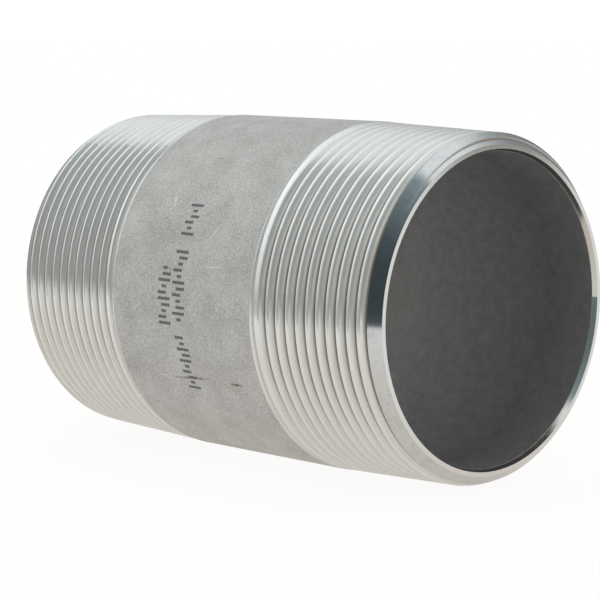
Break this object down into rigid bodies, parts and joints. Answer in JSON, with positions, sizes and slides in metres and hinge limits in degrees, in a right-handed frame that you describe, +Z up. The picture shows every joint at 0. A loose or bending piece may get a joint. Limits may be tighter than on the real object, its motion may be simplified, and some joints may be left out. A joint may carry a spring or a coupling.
{
  "type": "threaded pipe nipple",
  "caption": "Short steel pipe nipple with a taper pipe thread on both ends, a plain barrel between them, chamfered ends and an open bore.",
  "frame": {"origin": "centre of the bore, midway between the two end faces", "axes": "+X along the pipe's axis towards one end (the two ends are alike), +Z up as the pipe lies on its side"},
  "size_m": [0.0888, 0.0604, 0.0604],
  "materials": {
    "steel": "machined threads and ends; matt pickled barrel and bore",
    "ink": "matt ink-jet print"
  },
  "bodies": {
    "root": {"nipple_body": "steel", "ink_code": "ink"}
  },
  "joints": []
}
